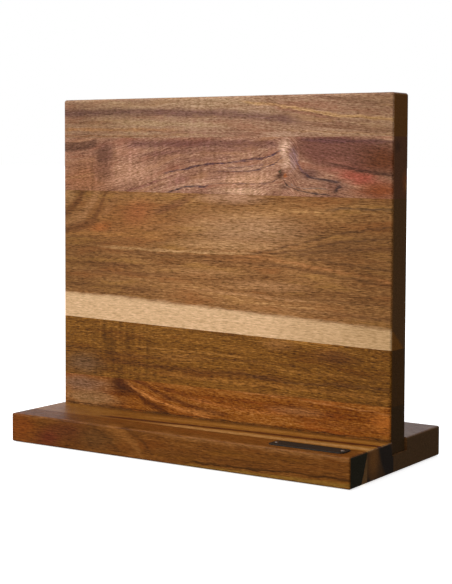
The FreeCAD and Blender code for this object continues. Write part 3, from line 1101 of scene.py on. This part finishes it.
STAVE_3 = Figure(
    tones=(tone(84, 49, 22), tone(119, 76, 37), tone(146, 99, 55), tone(166, 117, 69), tone(196, 145, 90)),
    seed=3.0, redness=0.5, red=tone(152, 92, 46), gold=tone(176, 126, 64), pith=(6.0, 55.5), lean=-0.048,
    ring=6.0, wander=4.0, contrast=0.8, fibre=0.8, fleck=0.4, pores=1.25, end=tone(125, 87, 49),
    sapwood=Sapwood(((-150, 113.5), (-90, 112.5), (-30, 110), (40, 107), (150, 102.5)), CREAM, 0.8,
                     end=tone(164, 104, 39),
                     # darker along the sapwood; the darkening at the right-hand end is painted shade where
                     # the light falls off
                     drift=((-150, 0.05), (30, 0), (60, 0.15), (79, 0.3), (103, 0.4), (127, 0.55),
                            (150, 0.6))),
    # darker along the stave; the darkening at the right-hand end is painted shade where the light falls off
    drift=((-150, 0.75), (-137, 0.65), (-113, 0.5), (-89, 0.38), (-60, 0.2), (-20, 0), (40, 0),
           (79, 0.15), (103, 0.32), (127, 0.58), (150, 0.68)),
    marks=(
        Blot((-86, 174), (74, 26), tone(158, 100, 52), 0.7),
        Blot((28, 170), (78, 18), tone(176, 132, 92), 0.75),
        Blot((10, 157), (74, 7), tone(184, 138, 92), 0.7),
        Blot((14, 193), (42, 7), tone(180, 134, 102), 0.75),
        Blot((-146, 193), (14, 12), tone(196, 146, 98), 0.8),
        Streak(((-165, 168), (-134, 173), (-124, 182), (-116, 192), (-112, 198)), 18.0, tone(182, 130, 86),
               0.75, fade=6.0),
        Streak(((-165, 168), (-150, 176), (-138, 184), (-131, 192), (-127, 198)), 14.0, tone(116, 70, 34),
               0.95, fade=6.0),
        Streak(((-146, 164), (-120, 172), (-111, 184), (-104, 198)), 12.0, tone(122, 74, 38), 0.85, fade=6.0),
        Streak(((-110, 176), (-98, 188), (-90, 198)), 13.0, tone(172, 118, 74), 0.5, fade=10.0),
        Blot((-112, 167), (18, 6), tone(178, 104, 52), 0.75, slant=12.0),
        Blot((-74, 180), (24, 14), tone(160, 94, 52), 0.75, slant=20.0),
        Streak(((-165, 161.5), (-100, 162), (-50, 160)), 5.0, tone(184, 126, 68), 0.6, fade=20.0),
        Streak(((-165, 155), (-100, 155.5), (-70, 154)), 4.0, tone(134, 84, 44), 0.5, fade=20.0),
        Streak(((-58, 180), (-40, 186), (-22, 193)), 9.0, tone(120, 74, 44), 0.8, fade=12.0),
        Streak(((-70, 166), (-40, 172), (-10, 182)), 9.0, tone(140, 92, 54), 0.45, fade=16.0),
        Streak(((-110, 152), (-20, 151), (30, 151.6)), 3.2, tone(196, 150, 100), 0.7, fade=30.0, broken=0.4),
        Streak(((-90, 148.6), (-20, 147.6), (34, 148.4)), 4.0, tone(112, 73, 40), 0.6, fade=20.0),
        Streak(((-16, 143.5), (20, 144.5), (60, 144)), 4.0, tone(120, 78, 44), 0.5, fade=20.0),
        Blot((106, 158), (58, 10), tone(128, 86, 48), 0.75, slant=10.0),
        Streak(((30, 151.4), (60, 157.5), (90, 165), (120, 171), (165, 176)), 3.0, tone(88, 56, 32), 0.8,
               fade=16.0, broken=0.7),
        Streak(((42, 151), (70, 155), (110, 163), (165, 168)), 3.0, tone(92, 58, 34), 0.75, fade=20.0,
               broken=0.75),
        Streak(((60, 151), (100, 156), (165, 161)), 4.0, tone(98, 62, 36), 0.65, fade=20.0, broken=0.75),
        Streak(((26, 150.4), (60, 147), (100, 142), (165, 134)), 4.0, tone(170, 112, 64), 0.7, fade=16.0,
               broken=0.4),
        Streak(((50, 144.6), (100, 138.6), (165, 131)), 3.4, tone(104, 66, 36), 0.6, fade=16.0),
        Streak(((80, 150), (110, 147), (165, 142)), 3.0, tone(92, 58, 32), 0.6, fade=16.0, broken=0.5),
        Streak(((100, 186), (124, 187), (165, 184)), 3.0, tone(96, 70, 52), 0.7, fade=12.0),
        Blot((-10, 136), (60, 5), tone(178, 128, 80), 0.5),
        Blot((44, 128), (56, 6), tone(180, 130, 84), 0.6),
        Streak(((-165, 139), (-110, 138), (-70, 138)), 6.0, tone(112, 68, 36), 0.7, fade=30.0),
        Streak(((-130, 132), (-80, 131.5), (-40, 132)), 4.0, tone(122, 78, 44), 0.6, fade=30.0),
        Streak(((-165, 121.5), (-90, 120.5), (-60, 120)), 5.0, tone(118, 76, 42), 0.7, fade=30.0),
        Streak(((-20, 122), (40, 120), (80, 118)), 4.0, tone(182, 132, 86), 0.5, fade=30.0),
        Streak(((60, 112), (100, 111), (165, 107)), 5.0, tone(128, 86, 50), 0.6, fade=30.0),
        Streak(((60, 121), (100, 120), (165, 118)), 3.0, tone(120, 80, 46), 0.5, fade=30.0),
    ))

STAVE_2 = Figure(
    tones=(tone(76, 40, 2), tone(102, 60, 10), tone(121, 76, 20), tone(140, 91, 30), tone(170, 116, 50)),
    seed=4.0, redness=0.3, red=tone(122, 62, 20), gold=tone(148, 96, 36), pith=(-10.0, 80.0), lean=0.02,
    ring=4.0, wander=3.0, flow=((-150, 0), (0, 0), (150, -7)), contrast=0.8, fibre=1.0, fleck=0.7, pores=1.3,
    ripple=(0.62, -118.0, -60.0), end=tone(106, 71, 34),
    # darker along the stave; the darkening at the right-hand end is painted shade where the light falls off
    drift=((-150, 0), (-125, 0.1), (-100, 0.4), (-70, 0.15), (-50, 0), (60, 0), (90, 0.15), (127, 0.4),
           (150, 0.45)),
    marks=(
        Blot((-128, 57), (30, 13), tone(112, 80, 52), 0.8),
        Streak(((-72, 73.5), (-20, 74), (26, 73.5)), 2.4, tone(166, 112, 50), 0.6, fade=20.0),
        Streak(((-40, 70.5), (20, 71), (80, 70)), 2.0, tone(92, 52, 20), 0.6, fade=20.0),
        Blot((-34, 69), (40, 5), tone(146, 96, 40), 0.6),
        Streak(((-110, 62), (-60, 60), (-17, 59.5), (20, 60), (60, 60)), 6.5, tone(92, 50, 14), 0.8,
               fade=30.0, broken=0.4),
        Streak(((20, 62), (80, 58), (110, 60), (165, 58)), 4.0, tone(84, 50, 22), 0.65, fade=30.0,
               broken=0.4),
        Streak(((-165, 71), (-90, 67), (-40, 66)), 3.4, tone(86, 52, 20), 0.5, fade=30.0, broken=0.5),
        Blot((56, 86), (22, 7), tone(150, 100, 50), 0.7),
        Blot((104, 80), (30, 8), tone(98, 56, 24), 0.65),
        Streak(((-50, 54.5), (-10, 54), (40, 54), (165, 52.5)), 5.0, tone(152, 98, 38), 0.75, fade=20.0),
        Streak(((-110, 53), (-60, 52.5)), 4.0, tone(104, 58, 16), 0.6, fade=20.0),
        Streak(((40, 48.5), (100, 47.5), (165, 46)), 3.0, tone(138, 86, 36), 0.5, fade=20.0),
        Streak(((30, 70), (90, 66), (165, 66.5)), 3.0, tone(148, 96, 38), 0.5, fade=30.0),
        Streak(((-60, 92), (0, 90), (60, 90)), 3.0, tone(96, 56, 22), 0.4, fade=30.0),
    ))

STAVE_1 = Figure(
    tones=(tone(84, 36, 0), tone(112, 56, 4), tone(133, 75, 15), tone(150, 91, 30), tone(178, 118, 58)),
    seed=5.0, redness=0.4, red=tone(146, 70, 20), gold=tone(166, 104, 42), pith=(-22.0, 60.0), lean=-0.03,
    ring=4.5, wander=4.0, flow=((-150, 0), (-90, 0), (-50, -8), (0, -13), (150, -17)), contrast=0.9,
    fibre=1.0,
    fleck=0.9, pores=0.6, end=tone(89, 64, 36),
    marks=(
        Blot((-130, 40), (46, 11), tone(122, 88, 64), 0.85),
        Blot((-122, 29), (46, 9), tone(146, 108, 68), 0.85),
        Blot((-90, 42), (21, 11), tone(66, 31, 8), 0.95, slant=-15.0),
        Streak(((-96, 48), (-80, 41), (-64, 31), (-44, 24)), 9.0, tone(84, 40, 6), 0.95, fade=8.0),
        Streak(((-84, 45), (-70, 37.6), (-50, 32), (-30, 28), (-8, 25.6)), 4.6, tone(184, 116, 54), 0.85,
               fade=12.0),
        Streak(((-80, 49), (-62, 42.5), (-44, 36.5), (-20, 31.5), (10, 28)), 6.0, tone(88, 40, 6), 0.9,
               fade=12.0),
        Streak(((-56, 46), (-36, 41), (-8, 36)), 4.6, tone(112, 56, 12), 0.75, fade=14.0),
        Streak(((-24, 38), (10, 34.6), (60, 33)), 4.4, tone(164, 98, 42), 0.6, fade=20.0),
        Blot((-14, 28), (26, 4), tone(164, 104, 46), 0.6),
        Streak(((20, 47), (80, 45.5), (165, 41)), 2.0, tone(172, 112, 58), 0.6, fade=24.0),
        Streak(((-40, 48), (40, 48.5), (100, 47)), 2.0, tone(150, 98, 44), 0.5, fade=24.0),
        Streak(((70, 31), (110, 30), (165, 28)), 7.0, tone(112, 56, 10), 0.75, fade=24.0),
        Blot((104, 36.5), (18, 4), tone(112, 54, 10), 0.7),
        Blot((70, 37), (34, 5), tone(158, 104, 58), 0.6),
        Blot((142, 36), (17, 11), tone(164, 94, 32), 0.7),
        # painted shade: a dark line along the board's foot, where it stands in the base
        Streak(((-165, 24), (0, 23.6), (165, 23.8)), 2.6, tone(60, 34, 10), 0.8, fade=10.0),
    ))


@dataclass
class Board:
    """The upright board: two leaves of five staves each, numbered from the foot up."""

    figures: tuple[Figure, ...] = (STAVE_1, STAVE_2, STAVE_3, STAVE_4, STAVE_5)
    leaves: tuple[str, ...] = ("front", "rear")

    def build(self) -> None:
        """Gives each stave its wood; the two leaves of a stave share it."""
        for number, figure in enumerate(self.figures, 1):
            low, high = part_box("front_leaf_stave_%d" % number)
            wood = WoodFinish("board_stave_%d_wood" % number, Cut.UPRIGHT, figure,
                              face=low.y / MM, middle=(low.z + high.z) / 2 / MM).build()
            for leaf in self.leaves:
                dress("%s_leaf_stave_%d" % (leaf, number), wood)


BASE_FRONT = Figure(
    tones=(tone(70, 36, 8), tone(92, 51, 13), tone(110, 63, 18), tone(124, 75, 28), tone(149, 96, 43)),
    seed=11.0, redness=0.35, red=tone(114, 55, 8), gold=tone(124, 76, 16), pith=(-20.0, 40.0), lean=0.01,
    ring=4.5, wander=3.0, contrast=0.6, fibre=0.8, fleck=0.4, pores=0.7, end=tone(96, 64, 38),
    end_marks=(Blot((12, 12), (60, 60), tone(63, 58, 44), 1.0, soft=0.3),),
    sapwood=Sapwood(((-150, -36.8), (150, -36.8)), tone(255, 220, 150), -2.36, soft=2.0,
                    end=tone(157, 114, 70)),
    # darker along the stave; the slight darkening at the right-hand end is painted shade where the light
    # falls off
    drift=((-150, 0.3), (-120, 0.1), (-95, 0.25), (-60, 0), (60, 0), (110, 0.05), (150, 0.1)),
    marks=(
        Blot((-142, 12), (26, 20), tone(128, 64, 16), 0.85),
        Blot((-112, 8), (22, 12), tone(100, 42, 20), 0.85, slant=20.0),
        Blot((-92, 15), (26, 13), tone(98, 50, 22), 0.8),
        Blot((-66, 12), (26, 16), tone(94, 58, 24), 0.85),
        Streak(((-58, 24), (-44, 19), (-32, 13), (-25, 6), (-23, 0)), 11.0, tone(132, 82, 34), 0.85, soft=0.8,
               fade=6.0),
        Streak(((-48, 0), (-36, 2.5), (-23, 7)), 5.0, tone(126, 76, 28), 0.6, fade=6.0),
        Streak(((-44, 25), (-28, 18), (-14, 6)), 6.0, tone(80, 44, 12), 0.7, fade=6.0),
        Streak(((-72, 22), (-54, 12), (-42, 2)), 6.0, tone(82, 48, 16), 0.6, fade=6.0),
        # painted highlight: a paler band along the top edge of the base's front face, where it catches the
        # light
        Streak(((-10, 21.4), (60, 21.2), (165, 21)), 5.0, tone(140, 92, 46), 0.6, fade=40.0),
        Streak(((-10, 8), (60, 8), (165, 8.4)), 7.0, tone(88, 48, 12), 0.6, fade=40.0),
        Streak(((18, 4.6), (60, 5.2), (100, 6.8), (165, 7.4)), 2.4, tone(58, 32, 6), 0.9, fade=16.0,
               broken=0.15),
        Streak(((10, 1.4), (80, 2.4), (165, 3.4)), 4.6, tone(130, 94, 34), 0.8, fade=20.0),
        Streak(((-10, 14), (60, 15), (165, 13)), 2.0, tone(76, 42, 8), 0.5, fade=20.0, broken=0.5),
        Streak(((0, 10), (60, 11), (165, 10)), 2.0, tone(84, 46, 10), 0.5, fade=20.0, broken=0.5),
    ))

BASE_MIDDLE = Figure(
    tones=(tone(88, 46, 2), tone(116, 67, 8), tone(136, 86, 20), tone(154, 104, 40), tone(176, 126, 62)),
    seed=12.0, redness=0.25, red=tone(130, 66, 8), gold=tone(160, 104, 30), pith=(8.0, 60.0), lean=0.01,
    ring=5.0, wander=2.0, flow=((-150, -6), (0, 0), (150, 8)), contrast=0.7, fibre=0.9, fleck=0.6, pores=0.5,
    end=tone(100, 68, 36),
    marks=(
        Blot((-124, -28), (50, 22), tone(112, 66, 12), 0.6),
        Streak(((-30, -43.5), (20, -42.5), (60, -41), (165, -38.5)), 11.0, tone(180, 132, 76), 0.85, soft=0.6,
               fade=60.0),
        Streak(((-130, -44.5), (-60, -43.5), (-20, -42)), 5.0, tone(112, 62, 14), 0.7, fade=40.0),
        Streak(((-84, -40.5), (-41, -38), (7, -34), (50, -31), (103, -29.5), (165, -26)), 8.0,
               tone(66, 20, 0), 1.0, soft=0.6, fade=24.0, broken=0.05),
        Streak(((-60, -25), (20, -21), (165, -17)), 9.0, tone(164, 110, 46), 0.65, fade=40.0),
        # painted shade: a contact shadow and a dark line on the base in front of the board's foot
        Streak(((-110, -13), (-60, -12), (165, -12)), 9.0, tone(84, 46, 6), 0.7, fade=30.0),
        Streak(((-165, -9), (0, -9), (165, -9)), 4.0, tone(70, 38, 4), 0.8, fade=10.0),
    ),
    end_marks=(
        Blot((-37, 7), (13, 20), tone(162, 104, 46), 0.95),
        Blot((-17, 8), (11, 28), tone(56, 44, 34), 0.97, slant=-27.0, soft=0.4),
        Blot((-47, 24), (11, 8), tone(51, 42, 29), 0.95, slant=28.0, soft=0.6),
    ))

BASE_REAR = Figure(
    tones=(tone(84, 48, 20), tone(106, 66, 32), tone(124, 82, 44), tone(138, 96, 56), tone(156, 112, 70)),
    seed=13.0, redness=0.25, red=tone(120, 66, 34), gold=tone(142, 98, 50), pith=(-10.0, 50.0), lean=0.02,
    ring=6.0, wander=5.0, contrast=0.8, fibre=0.9, fleck=0.7, pores=0.7, end=tone(113, 80, 46))


@dataclass
class Base:
    """The base: three staves, laid flat; the narrow front one shows most of its front edge."""

    staves: tuple[tuple[str, Cut, Figure, float], ...] = (
        ("front", Cut.UPRIGHT, BASE_FRONT, 0.06),
        ("middle", Cut.FLAT, BASE_MIDDLE, 0.22),
        ("rear", Cut.FLAT, BASE_REAR, 0.16),
    )

    def build(self) -> None:
        """Gives each stave its own wood, by its name, cut, figure and gloss."""
        for name, cut, figure, gloss in self.staves:
            node = "base_%s_stave" % name
            low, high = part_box(node)
            if cut is Cut.UPRIGHT:
                face, middle = low.y / MM, (low.z + high.z) / 2 / MM
            else:
                face, middle = high.z / MM, (low.y + high.y) / 2 / MM
            dress(node, WoodFinish("base_%s_wood" % name, cut, figure, face, middle, gloss).build())


# ---------------------------------------------------------------- fittings


SPECKLE_SHADE = 0.25       # how much lighter or darker a speckle is than the finish
SPECKLE_ROUGH = 0.1        # how much rougher or smoother


def dress(node: str, material: bpy.types.Material) -> None:
    """Gives a modelled piece a finish in place of its plain one.

    Args:
        node: the piece's name.
        material: its finish.
    """
    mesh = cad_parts[node].data
    mesh.materials.clear()
    mesh.materials.append(material)
    LOG.info("dressed %s in %s", node, material.name)


@dataclass(frozen=True)
class MetalFinish:
    """The finish of a metal, magnet or rubber piece, with small changes of shade.

    Attributes:
        name: the material's name.
        colour: its colour.
        rough: its roughness.
        metallic: 1 for bare metal, 0 for a coat over it.
        grain: the size of its speckle, along X and across, in millimetres.
        depth: how deep its speckle is, in millimetres.
        gloss: the strength of its sheen where it is not metal.
    """

    name: str
    colour: Colour
    rough: float
    metallic: float = 1.0
    grain: tuple[float, float] = (1.0, 1.0)
    depth: float = 0.01
    gloss: float = 0.5

    def build(self) -> bpy.types.Material:
        """Makes the material.

        Returns:
            The material.
        """
        graph = Finish(self.name)
        x, y, z = graph.place_mm()
        speckle = graph.noise(
            graph.vector(graph.scaled(x, 1 / self.grain[0]), graph.scaled(y, 1 / self.grain[1]),
                         graph.scaled(z, 1 / self.grain[1])), detail=3.0, rough=0.6)
        dark = tuple((1.0 - SPECKLE_SHADE) * part for part in self.colour)
        light = tuple(min(1.0, (1.0 + SPECKLE_SHADE) * part) for part in self.colour)
        graph.put(graph.shader.inputs["Base Color"], graph.mix(speckle, dark, light))
        rough = graph.scaled(speckle, 2 * SPECKLE_ROUGH, self.rough - SPECKLE_ROUGH)
        graph.put(graph.shader.inputs["Roughness"], rough)
        graph.bump(speckle, self.depth)
        return graph.finish(Metallic=self.metallic, Specular_IOR_Level=self.gloss)


@dataclass
class Fittings:
    """Plate, pins, pads, screws, magnets and keeper strips."""

    finishes: dict[str, MetalFinish] = field(default_factory=lambda: {
        "name_plate": MetalFinish("bronze_plate", (0.012, 0.008, 0.005), 0.6, 0.0, (6.0, 0.3), gloss=0.25),
        "plate_pins": MetalFinish("bronze_pin", (0.30, 0.24, 0.20), 0.22),
        "base_screws": MetalFinish("zinc_plate", (0.60, 0.58, 0.52), 0.3),
        "foot_pad": MetalFinish("pad_rubber", (0.02, 0.02, 0.02), 0.8, 0.0, (0.4, 0.4), 0.05),
        "keeper_strip": MetalFinish("rolled_steel", (0.42, 0.42, 0.44), 0.42, 1.0, (14.0, 0.5)),
        "magnet": MetalFinish("ferrite", (0.055, 0.055, 0.06), 0.62, 0.1, (0.5, 0.5), 0.04),
    })

    def build(self) -> None:
        """Dresses every fitting by the kind of piece that its name says."""
        made = {kind: finish.build() for kind, finish in self.finishes.items()}
        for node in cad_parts:
            for kind, material in made.items():
                if kind in node:
                    dress(node, material)


def main() -> None:
    """Builds the camera, the studio and the finishes in order."""
    logging.basicConfig(level=logging.INFO, format="%(message)s")
    Viewpoint().build()
    Studio().build()
    Board().build()
    Base().build()
    Fittings().build()


if __name__ == "__main__":
    main()
